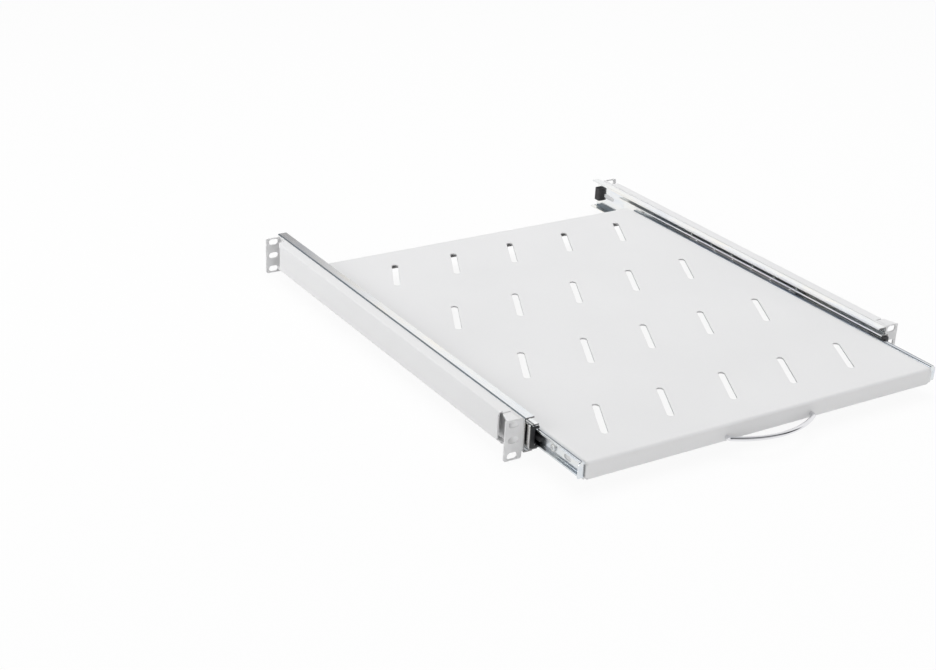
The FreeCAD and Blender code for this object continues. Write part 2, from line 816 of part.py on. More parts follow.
# Tray: one folded sheet with rows of slanted slots
def make_tray():
    body = new_body("tray", "0", TRAY_FRONT, TRAY_TOP)
    inside = HALF_TRAY + " - sheet"
    across = new_sketch(body, "tray_sides", "XZ_Plane", "- sheet - corner_gap")
    outline(across, [
        (less(HALF_TRAY), "- tray_flange"),
        (less(inside), "- tray_flange"),
        (less(inside), "- sheet", "tray_bend"),
        (inside, "- sheet", "tray_bend"),
        (inside, "- tray_flange"),
        (HALF_TRAY, "- tray_flange"),
        (HALF_TRAY, "0", TRAY_BEND),
        (less(HALF_TRAY), "0", TRAY_BEND),
    ])
    pad(body, across, TRAY_DEPTH + " - sheet*2 - corner_gap*2", True)

    along = new_sketch(body, "tray_ends", "YZ_Plane", plus(less(HALF_TRAY), TRAY_BEND))
    outline(along, [
        ("0", "- tray_flange", OUTER_BEND),
        ("tray_lip", "- tray_flange"),
        ("tray_lip", "- tray_flange + sheet"),
        ("sheet", "- tray_flange + sheet", "bend"),
        ("sheet", "- sheet", "tray_bend"),
        (TRAY_DEPTH + " - sheet", "- sheet", "tray_bend"),
        (TRAY_DEPTH + " - sheet", "- tray_flange + sheet", "bend"),
        (TRAY_DEPTH + " - tray_lip", "- tray_flange + sheet"),
        (TRAY_DEPTH + " - tray_lip", "- tray_flange"),
        (TRAY_DEPTH, "- tray_flange", OUTER_BEND),
        (TRAY_DEPTH, "0", TRAY_BEND),
        ("0", "0", TRAY_BEND),
    ])
    pad(body, along, minus(plus(HALF_TRAY, HALF_TRAY), "tray_bend*2 + sheet*2"))

    front = new_sketch(body, "tray_front", "XZ_Plane")
    outline(front, [
        (less(HALF_TRAY), less(TRAY_BEND)),
        (less(HALF_TRAY), "- tray_flange + flange_cut"),
        (plus(less(HALF_TRAY), "flange_cut"), plus("- tray_flange", OUTER_BEND)),
        (minus(HALF_TRAY, "flange_cut"), plus("- tray_flange", OUTER_BEND)),
        (HALF_TRAY, "- tray_flange + flange_cut"),
        (HALF_TRAY, less(TRAY_BEND)),
    ])
    pad(body, front, "sheet", True)

    slot_span = "slot_across*%d" % (SLOT_COLUMNS - 1)
    slot_run = TRAY_DEPTH + " - slot_front*2"
    for row in range(SLOT_ROWS):
        place = plus("slot_front", part_of(slot_run, row, SLOT_ROWS - 1))
        cutter = new_sketch(body, "tray_slot_%d" % (row + 1), "XY_Plane", "sheet")
        cutter.setExpression("AttachmentOffset.Base.x", formula(less(slot_span) + "/2"))
        cutter.setExpression("AttachmentOffset.Base.y", formula(place))
        cutter.setExpression("AttachmentOffset.Rotation.Angle", "90 - sizes.slot_angle")
        slot(cutter, "0", "0", "slot_length", "slot_width")
        row_of(body, [pocket(body, cutter, "sheet*3")], "X_Axis", slot_span, SLOT_COLUMNS)

    holes = new_sketch(body, "tray_screw_hole", "YZ_Plane", HALF_TRAY + " + sheet")
    circle(holes, "tray_lead + screw_first", "- tray_rise", "screw_radius + screw_play")
    through = pocket(body, holes, plus(plus(HALF_TRAY, HALF_TRAY), "sheet*2"))
    row_of(body, [through], "Y_Axis", SCREW_ROW, SCREW_COUNT)

    handle_holes = new_sketch(body, "tray_handle_holes", "XZ_Plane", "sheet")
    for across_place in ("handle_span/2", "- handle_span/2"):
        circle(handle_holes, across_place, "- handle_drop", "handle_screw + screw_play")
    pocket(body, handle_holes, "sheet*3")
    nodes.append(body)


# Handle: a bent rod with two screws from behind the front flange
def make_handle():
    height = TRAY_TOP + " - handle_drop"
    body = new_body("handle", "0", TRAY_FRONT, height)
    half = number("handle_span/2")
    leg = number("handle_leg")
    reach = number("handle_reach")
    turn = number("handle_bend")
    inward = half - turn
    outward = leg - reach
    big = (turn ** 2 - inward ** 2 - outward ** 2) / (2 * (outward + turn))
    big_text = (
        "(sizes.handle_bend ^ 2 - (sizes.handle_span / 2 - sizes.handle_bend) ^ 2"
        " - (sizes.handle_leg - sizes.handle_reach) ^ 2)"
        " / (2 * (sizes.handle_leg - sizes.handle_reach + sizes.handle_bend))"
    )
    big_centre = FreeCAD.Vector(0, big - reach, 0)
    slant = math.atan2(-leg - big_centre.y, inward)
    normal = FreeCAD.Vector(0, 0, 1)
    path = new_sketch(body, "handle_path", "XY_Plane")
    right_leg = path.addGeometry(
        Part.LineSegment(FreeCAD.Vector(half, 0, 0), FreeCAD.Vector(half, -leg, 0)), False
    )
    right_circle = Part.Circle(FreeCAD.Vector(inward, -leg, 0), normal, turn)
    right_turn = path.addGeometry(Part.ArcOfCircle(right_circle, slant, 0), False)
    big_circle = Part.Circle(big_centre, normal, big)
    bow = path.addGeometry(Part.ArcOfCircle(big_circle, math.pi - slant, slant), False)
    left_circle = Part.Circle(FreeCAD.Vector(-inward, -leg, 0), normal, turn)
    left_turn = path.addGeometry(Part.ArcOfCircle(left_circle, math.pi, math.pi - slant), False)
    left_leg = path.addGeometry(
        Part.LineSegment(FreeCAD.Vector(-half, -leg, 0), FreeCAD.Vector(-half, 0, 0)), False
    )
    rules = [
        (Sketcher.Constraint("Tangent", right_leg, END, right_turn, END), None),
        (Sketcher.Constraint("Tangent", right_turn, START, bow, END), None),
        (Sketcher.Constraint("Tangent", bow, START, left_turn, END), None),
        (Sketcher.Constraint("Tangent", left_turn, START, left_leg, START), None),
        (Sketcher.Constraint("Radius", right_turn, turn), "handle_bend"),
        (Sketcher.Constraint("Radius", left_turn, turn), "handle_bend"),
    ]
    rules += hold_point(right_leg, START, "handle_span/2", "0")
    rules += hold_point(right_leg, END, "handle_span/2", "- handle_leg")
    rules += hold_point(left_leg, START, "- handle_span/2", "- handle_leg")
    rules += hold_point(left_leg, END, "- handle_span/2", "0")
    bind(path, rules)
    size_rule = path.addConstraint(Sketcher.Constraint("Radius", bow, big))
    path.setExpression("Constraints[%d]" % size_rule, big_text)

    rod = new_sketch(body, "handle_rod_section", "XZ_Plane")
    circle(rod, "handle_span/2", "0", "handle_rod/2")
    pipe = body.newObject("PartDesign::AdditivePipe", "handle_pipe")
    pipe.Profile = rod
    pipe.Spine = path
    body.Tip = pipe
    threads = new_sketch(body, "handle_threads", "XZ_Plane")
    for across_place in ("handle_span/2", "- handle_span/2"):
        circle(threads, across_place, "0", "handle_screw + thread_play")
    pocket(body, threads, "handle_screw_depth + handle_screw/2", True)
    nodes.append(body)

    screws = new_body("handle_screws", "- handle_span/2", TRAY_FRONT, height)
    profile = new_sketch(screws, "handle_screw_profile", "XY_Plane")
    outline(profile, [
        ("0", "sheet + handle_head"),
        ("0", "- handle_screw_depth"),
        ("handle_screw", "- handle_screw_depth"),
        ("handle_screw", "sheet"),
        ("handle_head_radius", "sheet"),
        ("handle_head_radius", "sheet + handle_head", "head_round"),
    ])
    row_of(screws, [revolve(screws, profile, "V_Axis")], "X_Axis", "handle_span", HANDLE_SCREW_COUNT)
    nodes.append(screws)


make_rail()
make_outer_member()
make_rail_rivets()
make_bumper()
make_middle_member()
make_end_stop()
make_inner_member()
for stage, start, web, height, place, length in (
    ("outer", "outer_cage_setback - pull/4", "member_wall + web_gap/2 - cage_wall/2",
     OUTER_BALL, "outer_ball_place", "outer_cage_length"),
    ("inner", "inner_cage_setback - pull*3/4", MIDDLE_WEB + " + inner_gap/2 - cage_wall/2",
     INNER_BALL, "inner_ball_place", "inner_cage_length"),
):
    make_cage(stage, start, web, height, place, length)
    make_balls(stage, start, height, place, length)
make_lever()
make_tray_screws()
make_tray()
make_handle()
doc.recompute()

for item in doc.Objects:
    if "Invalid" in item.State or "Error" in item.State:
        raise RuntimeError("failed: " + item.Name)
    if item.TypeId == "PartDesign::Pocket":
        if item.Shape.Volume >= item.BaseFeature.Shape.Volume - 1e-6:
            raise RuntimeError("cuts nothing: " + item.Name)
for node in nodes:
    if node.Shape.isNull() or not node.Shape.isValid():
        raise RuntimeError("bad shape: " + node.Label)

os.makedirs("parts", exist_ok=True)
for node in nodes:
    node.Shape.exportStep("parts/" + node.Label + ".step")
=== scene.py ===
import json
import math

import bmesh
import bpy
from mathutils import Matrix, Vector


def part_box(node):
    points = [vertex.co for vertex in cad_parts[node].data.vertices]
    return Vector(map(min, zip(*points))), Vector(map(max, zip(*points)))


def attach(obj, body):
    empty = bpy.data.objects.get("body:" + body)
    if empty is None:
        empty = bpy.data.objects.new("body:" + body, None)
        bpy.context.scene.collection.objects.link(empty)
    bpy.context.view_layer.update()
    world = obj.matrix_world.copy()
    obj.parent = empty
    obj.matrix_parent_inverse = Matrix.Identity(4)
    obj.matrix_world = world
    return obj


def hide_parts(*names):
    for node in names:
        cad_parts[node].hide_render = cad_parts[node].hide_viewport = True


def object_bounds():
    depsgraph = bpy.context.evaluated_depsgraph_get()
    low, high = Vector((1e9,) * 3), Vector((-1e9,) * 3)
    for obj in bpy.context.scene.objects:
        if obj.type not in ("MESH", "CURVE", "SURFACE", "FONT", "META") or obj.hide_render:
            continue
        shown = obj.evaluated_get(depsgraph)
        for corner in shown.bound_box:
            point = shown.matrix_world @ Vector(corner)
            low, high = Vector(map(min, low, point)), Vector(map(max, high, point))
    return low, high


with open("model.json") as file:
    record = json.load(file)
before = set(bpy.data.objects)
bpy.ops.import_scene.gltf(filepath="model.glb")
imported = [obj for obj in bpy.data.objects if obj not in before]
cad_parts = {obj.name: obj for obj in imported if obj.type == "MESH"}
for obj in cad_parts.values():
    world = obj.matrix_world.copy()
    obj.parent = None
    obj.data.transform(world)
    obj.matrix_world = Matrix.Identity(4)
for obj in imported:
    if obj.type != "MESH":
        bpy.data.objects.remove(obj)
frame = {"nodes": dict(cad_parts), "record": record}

# A sliding rack shelf. The folded sheet metal, the slides and the handle are the solids themselves. The
# small fasteners, with their recesses and threads, and the tray's pressed corners are made here. Sizes are
# in metres.

cad_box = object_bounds()
nodes = frame["nodes"]
scene = bpy.context.scene
scene.view_settings.view_transform = "Standard"
SIDES = ("left", "right")
MM = 0.001

# Colours. The number beside a tint is the value of the noise at which it stands.
WHITE = (1.0, 1.0, 1.0)
PAINT = (0.80, 0.80, 0.805)
SPECKLE = (0.965, 0.965, 0.965)
CHROME = (0.80, 0.80, 0.82)
BALL_STEEL = (0.78, 0.78, 0.80)
BLACK_PLASTIC = (0.022, 0.022, 0.024)
BLACK_RUBBER = (0.038, 0.037, 0.039)
# Bare steel for the sheared ends, darker than bare steel is, as painted shade
SHADED_BARE_STEEL = [(0.30, (0.16, 0.16, 0.165)), (0.70, (0.30, 0.295, 0.29))]
SLIDE_TINTS = [(0.30, (0.64, 0.69, 0.75)), (0.50, (0.74, 0.77, 0.80)), (0.70, (0.79, 0.79, 0.76))]
# A lighter copy of the slide tints: a painted highlight for the brighter reflections of the outer and
# intermediate members
LIT_SLIDE_TINTS = [(0.30, (0.79, 0.82, 0.86)), (0.50, (0.88, 0.89, 0.89)), (0.70, (0.92, 0.90, 0.85))]
CAGE_TINTS = [(0.30, (0.56, 0.57, 0.60)), (0.70, (0.68, 0.67, 0.66))]
FASTENER_TINTS = [(0.30, (0.64, 0.68, 0.74)), (0.55, (0.74, 0.75, 0.76)), (0.72, (0.79, 0.76, 0.68))]

# Scales of the object's coordinates. A small one draws a noise out along that axis.
EVEN = (1.0, 1.0, 1.0)
STREAKED = (1.0, 0.02, 1.0)
DRIFTING = (1.0, 0.25, 1.0)


# Nodes of a material or of the world
def node_of(owner, kind, **settings):
    node = owner.node_tree.nodes.new(kind)
    for key, value in settings.items():
        setattr(node, key, value)
    return node


def join(owner, start, end):
    owner.node_tree.links.new(start, end)


def ramp(owner, value, stops):
    scale = node_of(owner, "ShaderNodeValToRGB")
    scale.color_ramp.elements[0].position = stops[0][0]
    scale.color_ramp.elements[0].color = (*stops[0][1], 1.0)
    scale.color_ramp.elements[1].position = stops[-1][0]
    scale.color_ramp.elements[1].color = (*stops[-1][1], 1.0)
    for position, colour in stops[1:-1]:
        scale.color_ramp.elements.new(position).color = (*colour, 1.0)
    join(owner, value, scale.inputs["Fac"])
    return scale.outputs["Color"]


def multiplied(owner, first, second):
    product = node_of(owner, "ShaderNodeMix", data_type="RGBA", blend_type="MULTIPLY")
    product.inputs["Factor"].default_value = 1.0
    join(owner, first, product.inputs["A"])
    join(owner, second, product.inputs["B"])
    return product.outputs["Result"]


def larger(owner, first, second):
    choice = node_of(owner, "ShaderNodeMath", operation="MAXIMUM")
    join(owner, first, choice.inputs[0])
    join(owner, second, choice.inputs[1])
    return choice.outputs["Value"]


def mixed(owner, share, first, second):
    mix = node_of(owner, "ShaderNodeMixShader")
    join(owner, share, mix.inputs["Fac"])
    join(owner, first, mix.inputs[1])
    join(owner, second, mix.inputs[2])
    return mix.outputs["Shader"]


# Materials
def new_material(name):
    material = bpy.data.materials.new(name)
    material.use_nodes = True
    shader = material.node_tree.nodes["Principled BSDF"]
    return material, shader


def coordinates(material, scale=EVEN):
    place = node_of(material, "ShaderNodeTexCoord")
    mapping = node_of(material, "ShaderNodeMapping")
    mapping.inputs["Scale"].default_value = scale
    join(material, place.outputs["Object"], mapping.inputs["Vector"])
    return mapping.outputs["Vector"]


def noise(material, vector, scale, detail, roughness=0.5):
    texture = node_of(material, "ShaderNodeTexNoise")
    texture.inputs["Scale"].default_value = scale
    texture.inputs["Detail"].default_value = detail
    texture.inputs["Roughness"].default_value = roughness
    join(material, vector, texture.inputs["Vector"])
    return texture.outputs["Fac"]


def ranged(material, value, low, high, start=0.3, end=0.7):
    change = node_of(material, "ShaderNodeMapRange")
    change.inputs["From Min"].default_value = start
    change.inputs["From Max"].default_value = end
    change.inputs["To Min"].default_value = low
    change.inputs["To Max"].default_value = high
    join(material, value, change.inputs["Value"])
    return change.outputs["Result"]


# Relief on a surface, over edges that are slightly rounded. Each height has its depth and strength.
def relief(material, shader, heights, edge):
    rounded = node_of(material, "ShaderNodeBevel", samples=6)
    rounded.inputs["Radius"].default_value = edge
    normal = rounded.outputs["Normal"]
    for height, depth, strength in heights:
        bump = node_of(material, "ShaderNodeBump")
        bump.inputs["Distance"].default_value = depth
        bump.inputs["Strength"].default_value = strength
        join(material, height, bump.inputs["Height"])
        join(material, normal, bump.inputs["Normal"])
        normal = bump.outputs["Normal"]
    join(material, normal, shader.inputs["Normal"])


def shade_of(colour, factor):
    return tuple(channel * factor for channel in colour)


# Powder coat: broad cloudiness, the fine orange peel of the cured powder and tiny speckles
def powder_coat(name, colour):
    material, shader = new_material(name)
    place = coordinates(material)
    cloud = noise(material, place, scale=7.0, detail=3.0)
    peel = noise(material, place, scale=700.0, detail=2.0, roughness=0.45)
    grain = noise(material, place, scale=2600.0, detail=1.0)
    darkest = shade_of(colour, 0.985)
    lightest = shade_of(colour, 1.015)
    tint = ramp(material, cloud, [(0.30, darkest), (0.70, lightest)])
    speckles = ramp(material, grain, [(0.32, SPECKLE), (0.50, WHITE)])
    join(material, multiplied(material, tint, speckles), shader.inputs["Base Color"])
    join(material, ranged(material, peel, low=0.56, high=0.70), shader.inputs["Roughness"])
    shader.inputs["Specular IOR Level"].default_value = 0.30
    relief(material, shader, [(peel, 0.04 * MM, 0.35), (grain, 0.01 * MM, 0.25)], edge=0.35 * MM)
    return material


# Where a surface faces the front or the rear, as the cut ends of a rolled strip do. Painted shade is laid
# there.
def shaded_cut_ends(material):
    surface = node_of(material, "ShaderNodeNewGeometry")
    parts = node_of(material, "ShaderNodeSeparateXYZ")
    join(material, surface.outputs["True Normal"], parts.inputs["Vector"])
    size = node_of(material, "ShaderNodeMath", operation="ABSOLUTE")
    join(material, parts.outputs["Y"], size.inputs[0])
    return ranged(material, size.outputs["Value"], low=0.0, high=1.0, start=0.90, end=0.97)


# Zinc plate on rolled strip: long streaks, a faint blue and yellow tint, and bare steel in painted shade at
# sheared ends
def zinc_plate(name, tints, roughness, streak_scale=STREAKED, sheared_and_shaded=False):
    material, shader = new_material(name)
    shader.inputs["Metallic"].default_value = 1.0
    tint = noise(material, coordinates(material, DRIFTING), scale=60.0, detail=3.0, roughness=0.6)
    streaks = noise(material, coordinates(material, streak_scale), scale=2400.0, detail=3.0, roughness=0.6)
    mottle = noise(material, coordinates(material), scale=380.0, detail=2.0)
    colour = ramp(material, tint, tints)
    if sheared_and_shaded:
        # Bare steel at the sheared ends, darkened into painted shade
        bare_and_shade = node_of(material, "ShaderNodeMix", data_type="RGBA")
        join(material, shaded_cut_ends(material), bare_and_shade.inputs["Factor"])
        join(material, colour, bare_and_shade.inputs["A"])
        join(material, ramp(material, mottle, SHADED_BARE_STEEL), bare_and_shade.inputs["B"])
        colour = bare_and_shade.outputs["Result"]
    join(material, colour, shader.inputs["Base Color"])
    join(material, ranged(material, streaks, *roughness), shader.inputs["Roughness"])
    relief(material, shader, [(streaks, 0.01 * MM, 0.25), (mottle, 0.02 * MM, 0.12)], edge=0.25 * MM)
    return material


# Polished chrome or ground steel: a faint haze, and slow ripples in the reflections
def chrome(name, colour):
    material, shader = new_material(name)
    shader.inputs["Metallic"].default_value = 1.0
    place = coordinates(material)
    haze = noise(material, place, scale=55.0, detail=4.0, roughness=0.6)
    ripple = noise(material, place, scale=130.0, detail=1.0)
    darkest = shade_of(colour, 0.97)
    tint = ramp(material, haze, [(0.35, darkest), (0.65, colour)])
    join(material, tint, shader.inputs["Base Color"])
    join(material, ranged(material, haze, low=0.02, high=0.05), shader.inputs["Roughness"])
    relief(material, shader, [(ripple, 0.04 * MM, 0.12)], edge=0.2 * MM)
    return material


# Moulded plastic or rubber: a fine spark-eroded grain, and a slight sheen where it was handled
def moulded(name, colour, roughness, grain_scale, grain_depth):
    material, shader = new_material(name)
    place = coordinates(material)
    grain = noise(material, place, scale=grain_scale, detail=3.0, roughness=0.6)
    patch = noise(material, place, scale=90.0, detail=3.0)
    darkest = shade_of(colour, 0.75)
    lightest = shade_of(colour, 1.3)
    tint = ramp(material, patch, [(0.35, darkest), (0.65, lightest)])
    join(material, tint, shader.inputs["Base Color"])
    join(material, ranged(material, patch, *roughness), shader.inputs["Roughness"])
    relief(material, shader, [(grain, grain_depth, 0.35)], edge=0.3 * MM)
    return material


looks = {
    "tray_paint": powder_coat("tray_powder_coat", PAINT),
    "rail_paint": powder_coat("rail_powder_coat", PAINT),
    "handle_chrome": chrome("polished_chrome", CHROME),
    "slide_zinc": zinc_plate("slide_zinc_plate", SLIDE_TINTS, roughness=(0.10, 0.24)),
    "cage_steel": zinc_plate("cage_zinc_plate", CAGE_TINTS, roughness=(0.24, 0.40)),
    "ball_steel": chrome("ground_ball_steel", BALL_STEEL),
    "fastener_zinc": zinc_plate(
        "fastener_zinc_plate", FASTENER_TINTS, roughness=(0.20, 0.36), streak_scale=EVEN,
    ),
    "stop_plastic": moulded(
        "moulded_black_plastic", BLACK_PLASTIC, roughness=(0.36, 0.52),
        grain_scale=1500.0, grain_depth=0.02 * MM,
    ),
    "bumper_rubber": moulded(
        "black_rubber", BLACK_RUBBER, roughness=(0.62, 0.80),
        grain_scale=900.0, grain_depth=0.03 * MM,
    ),
}

for subpart in frame["record"]["subparts"]:
    data = nodes[subpart["node"]].data
    data.materials.clear()
    data.materials.append(looks[subpart["material_slot"]])

# The outer and intermediate members are brighter than the inner ones, a painted highlight
# Their sheared ends show bare steel darkened into painted shade
lit_zinc_shaded_ends = zinc_plate("lit_zinc_plate_shaded_ends", LIT_SLIDE_TINTS, roughness=(0.10, 0.24), sheared_and_shaded=True)
for side in SIDES:
    for member in ("outer", "middle"):
        nodes[side + "_" + member + "_member"].data.materials[0] = lit_zinc_shaded_ends


# Meshes for the small pieces
def linked_object(name, bm):
    data = bpy.data.meshes.new(name)
    bm.to_mesh(data)
    bm.free()
    piece = bpy.data.objects.new(name, data)
    scene.collection.objects.link(piece)
    return piece


def mesh_object(name, bm, look):
    piece = linked_object(name, bm)
    piece.data.materials.append(look)
    return piece


# A turned form about the X axis, from (along, radius) points that start and end on the axis
def turned(profile, facets):
    bm = bmesh.new()
    rings = []
    for along, radius in profile:
        if radius == 0.0:
            rings.append([bm.verts.new((along, 0.0, 0.0))])
            continue
        ring = []
        for step in range(facets):
            angle = 2 * math.pi * step / facets
            ring.append(bm.verts.new((along, radius * math.cos(angle), radius * math.sin(angle))))
        rings.append(ring)
    for before, after in zip(rings, rings[1:]):
        for step in range(facets):
            corners = []
            for ring, index in ((before, step), (before, step + 1), (after, step + 1), (after, step)):
                corner = ring[index % len(ring)]
                if corner not in corners:
                    corners.append(corner)
            bm.faces.new(corners)
    bmesh.ops.recalc_face_normals(bm, faces=bm.faces)
    return bm


# A prism along the X axis from a closed outline in Y and Z
def prism(points, start, end):
    bm = bmesh.new()
    low = [bm.verts.new((start, y, z)) for y, z in points]
    high = [bm.verts.new((end, y, z)) for y, z in points]
    bm.faces.new(low)
    bm.faces.new(high)
    for index in range(len(points)):
        after = (index + 1) % len(points)
        bm.faces.new((low[index], low[after], high[after], high[index]))
    bmesh.ops.recalc_face_normals(bm, faces=bm.faces)
    return bm


# One form cut by, or kept inside, another
def combined(first, second, operation):
    pieces = [linked_object("combine_first", first), linked_object("combine_second", second)]
    change = pieces[0].modifiers.new("combine", "BOOLEAN")
    change.operation = operation
    change.solver = "EXACT"
    change.object = pieces[1]
    bpy.context.view_layer.update()
    result = bmesh.new()
    result.from_object(pieces[0], bpy.context.evaluated_depsgraph_get())
    for piece in pieces:
        data = piece.data
        bpy.data.objects.remove(piece)
        bpy.data.meshes.remove(data)
    return result


# Faces that meet at less than this angle are shaded as one surface
SMOOTH_ANGLE = math.radians(35.0)


def smooth_by_angle(bm):
    for face in bm.faces:
        face.smooth = True
    for edge in bm.edges:
        edge.smooth = len(edge.link_faces) == 2 and edge.calc_face_angle(0.0) < SMOOTH_ANGLE


# Copies of one form, set out by matrices
def copies(form, places):
    data = bpy.data.meshes.new("form")
    form.to_mesh(data)
    form.free()
    bm = bmesh.new()
    for place in places:
        before = set(bm.verts)
        bm.from_mesh(data)
        fresh = [vert for vert in bm.verts if vert not in before]
        bmesh.ops.transform(bm, matrix=place, verts=fresh)
    bpy.data.meshes.remove(data)
    bmesh.ops.recalc_face_normals(bm, faces=bm.faces)
    smooth_by_angle(bm)
    return bm


# Points along an arc of a profile, between two angles in degrees
def arc(centre_along, centre_radius, size, start, end, steps):
    points = []
    for step in range(steps + 1):
        angle = math.radians(start + (end - start) * step / steps)
        points.append((centre_along + size * math.cos(angle), centre_radius + size * math.sin(angle)))
    return points


# A thread as close-set ridges
def thread(start, end, radius, pitch):
    root = radius - 0.35 * pitch
    count = int((end - start) / pitch)
    step = (end - start) / count
    points = []
    for index in range(count):
        points.append((start + step * index, root))
        points.append((start + step * (index + 0.5), radius))
    points.append((end, root))
    return points


# The form of a cross recess that narrows towards its floor
def cross_cutter(half, width, depth, mouth):
    narrowing = 0.72
    side = width / 2
    points = [
        (half, -side), (half, side), (side, side), (side, half), (-side, half), (-side, side),
        (-half, side), (-half, -side), (-side, -side), (-side, -half), (side, -half), (side, -side),
    ]
    bm = prism(points, mouth - depth, mouth + depth)
    for vert in bm.verts:
        if vert.co.x > mouth:
            vert.co.y *= narrowing
            vert.co.z *= narrowing
    return bm


# Faces round the turned forms, and steps along a dome or a pressed corner
SCREW_FACETS = 40
NUT_FACETS = 48
BORE_FACETS = 40
RIVET_FACETS = 36
DOME_STEPS = 8
CORNER_STEPS = 8


# A pan-head screw along +X: the head's top at head_top, its seat at seat and its tip at tip
def pan_screw(head_top, seat, tip, head_radius, shank_radius, pitch):
    height = seat - head_top
    corner = 0.45 * height
    crown = 0.05 * height
    face_drop = 0.02 * height
    face_radius = 0.45 * head_radius
    neck = 0.2 * height
    chamfer = 0.4 * shank_radius
    profile = [(head_top, 0.0), (head_top + face_drop, face_radius)]
    profile += arc(head_top + corner + crown, head_radius - corner, corner, start=180.0, end=90.0, steps=6)
    profile += [(seat, head_radius), (seat, shank_radius)]
    profile += thread(seat + neck, tip - chamfer, shank_radius, pitch)
    profile += [(tip, shank_radius - chamfer), (tip, 0.0)]
    recess = cross_cutter(
        half=0.62 * head_radius, width=0.28 * head_radius, depth=0.62 * height, mouth=head_top,
    )
    return combined(turned(profile, SCREW_FACETS), recess, "DIFFERENCE")


# A hexagon nut with chamfered corners and a countersunk bore
def hexagon_nut(start, end, flats, bore):
    corner_radius = flats / math.sqrt(3.0)
    points = []
    for step in range(6):
        angle = math.radians(60.0 * step + 90.0)
        points.append((corner_radius * math.cos(angle), corner_radius * math.sin(angle)))
    chamfer = 0.62 * (corner_radius - flats / 2)
    face_radius = 0.475 * flats
    widest = 1.01 * corner_radius
    body = turned([
        (start, 0.0), (start, face_radius), (start + chamfer, widest),
        (end - chamfer, widest), (end, face_radius), (end, 0.0),
    ], NUT_FACETS)
    shaped = combined(prism(points, start, end), body, "INTERSECT")
    sink = 0.12 * (end - start)
    mouth = bore + 2 * sink
    hole = turned([
        (start - sink, 0.0), (start - sink, mouth), (start + sink, bore),
        (end - sink, bore), (end + sink, mouth), (end + sink, 0.0),
    ], BORE_FACETS)
    return combined(shaped, hole, "DIFFERENCE")


# A solid rivet: a domed head on a straight rim, and a flush tail
def dome_rivet(head_top, seat, tail, head_radius, shank_radius):
    height = seat - head_top
    rim = seat - 0.25 * height
    profile = [(head_top, 0.0)]
    for step in range(1, DOME_STEPS):
        angle = math.pi / 2 * step / DOME_STEPS
        profile.append((rim - (rim - head_top) * math.cos(angle), head_radius * math.sin(angle)))
    profile += [(rim, head_radius), (seat, head_radius), (seat, shank_radius)]
    profile += [(tail, shank_radius), (tail, 0.0)]
    return turned(profile, RIVET_FACETS)


# The pressed corner where two folded edges of the tray meet: an eighth of a ball, round towards +X, +Y
# and +Z
def pressed_corner(radius):
    bm = bmesh.new()
    middle = bm.verts.new((0.0, 0.0, 0.0))
    top = bm.verts.new((0.0, 0.0, radius))
    rings = []
    for down in range(1, CORNER_STEPS + 1):
        tilt = math.pi / 2 * down / CORNER_STEPS
        spread = radius * math.sin(tilt)
        height = radius * math.cos(tilt) if down < CORNER_STEPS else 0.0
        ring = []
        for turn in range(CORNER_STEPS + 1):
            angle = math.pi / 2 * turn / CORNER_STEPS
            ring.append(bm.verts.new((spread * math.cos(angle), spread * math.sin(angle), height)))
        rings.append(ring)
    for turn in range(CORNER_STEPS):
        bm.faces.new((top, rings[0][turn], rings[0][turn + 1]))
        for above, below in zip(rings, rings[1:]):
            bm.faces.new((above[turn], below[turn], below[turn + 1], above[turn + 1]))
    bm.faces.new([middle, top] + [ring[0] for ring in rings])
    bm.faces.new([middle, top] + [ring[-1] for ring in rings])
    bm.faces.new([middle] + rings[-1])
    bmesh.ops.recalc_face_normals(bm, faces=bm.faces)
    return bm


# The outer end of the fasteners in a row, as on the left side, and their length
def row_reach(side, node):
    low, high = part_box(node)
    outside = low.x if side == "left" else -high.x
    return outside, high.x - low.x


def half_height(node):
    low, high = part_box(node)
    return (high.z - low.z) / 2


# Places of a row of fasteners from front to rear, where radius is half the width of one
def row_places(node, count, radius):
    low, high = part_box(node)
    first = low.y + radius
    step = (high.y - low.y - 2 * radius) / (count - 1)
    height = (low.z + high.z) / 2
    return [Matrix.Translation((0.0, first + step * index, height)) for index in range(count)]


# Left-hand forms run along +X; the right-hand ones are turned round to run along -X
def on_side(side, places):
    if side == "left":
        return places
    turn = Matrix.Rotation(math.pi, 4, "Z")
    return [place @ turn for place in places]


def add_piece(name, bm, node, body, slot):
    piece = mesh_object(name, bm, looks[slot])
    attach(piece, body)
    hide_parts(node)


# Sizes of the small pieces. All but the pitches of the threads are those of the solids.
TRAY_SCREW_COUNT = 4
RIVET_COUNT = 4
SCREW_HEAD_HEIGHT = 2.0 * MM
SCREW_RADIUS = 2.0 * MM
SCREW_PITCH = 0.7 * MM
NUT_FLATS = 7.0 * MM
NUT_BORE_RADIUS = 2.02 * MM
RIVET_HEAD_HEIGHT = 1.5 * MM
RIVET_RADIUS = 2.0 * MM
HANDLE_SCREW_RADIUS = 1.25 * MM
HANDLE_HEAD_HEIGHT = 1.6 * MM
HANDLE_SCREW_PITCH = 0.5 * MM
TRAY_FOLD = 3.0 * MM

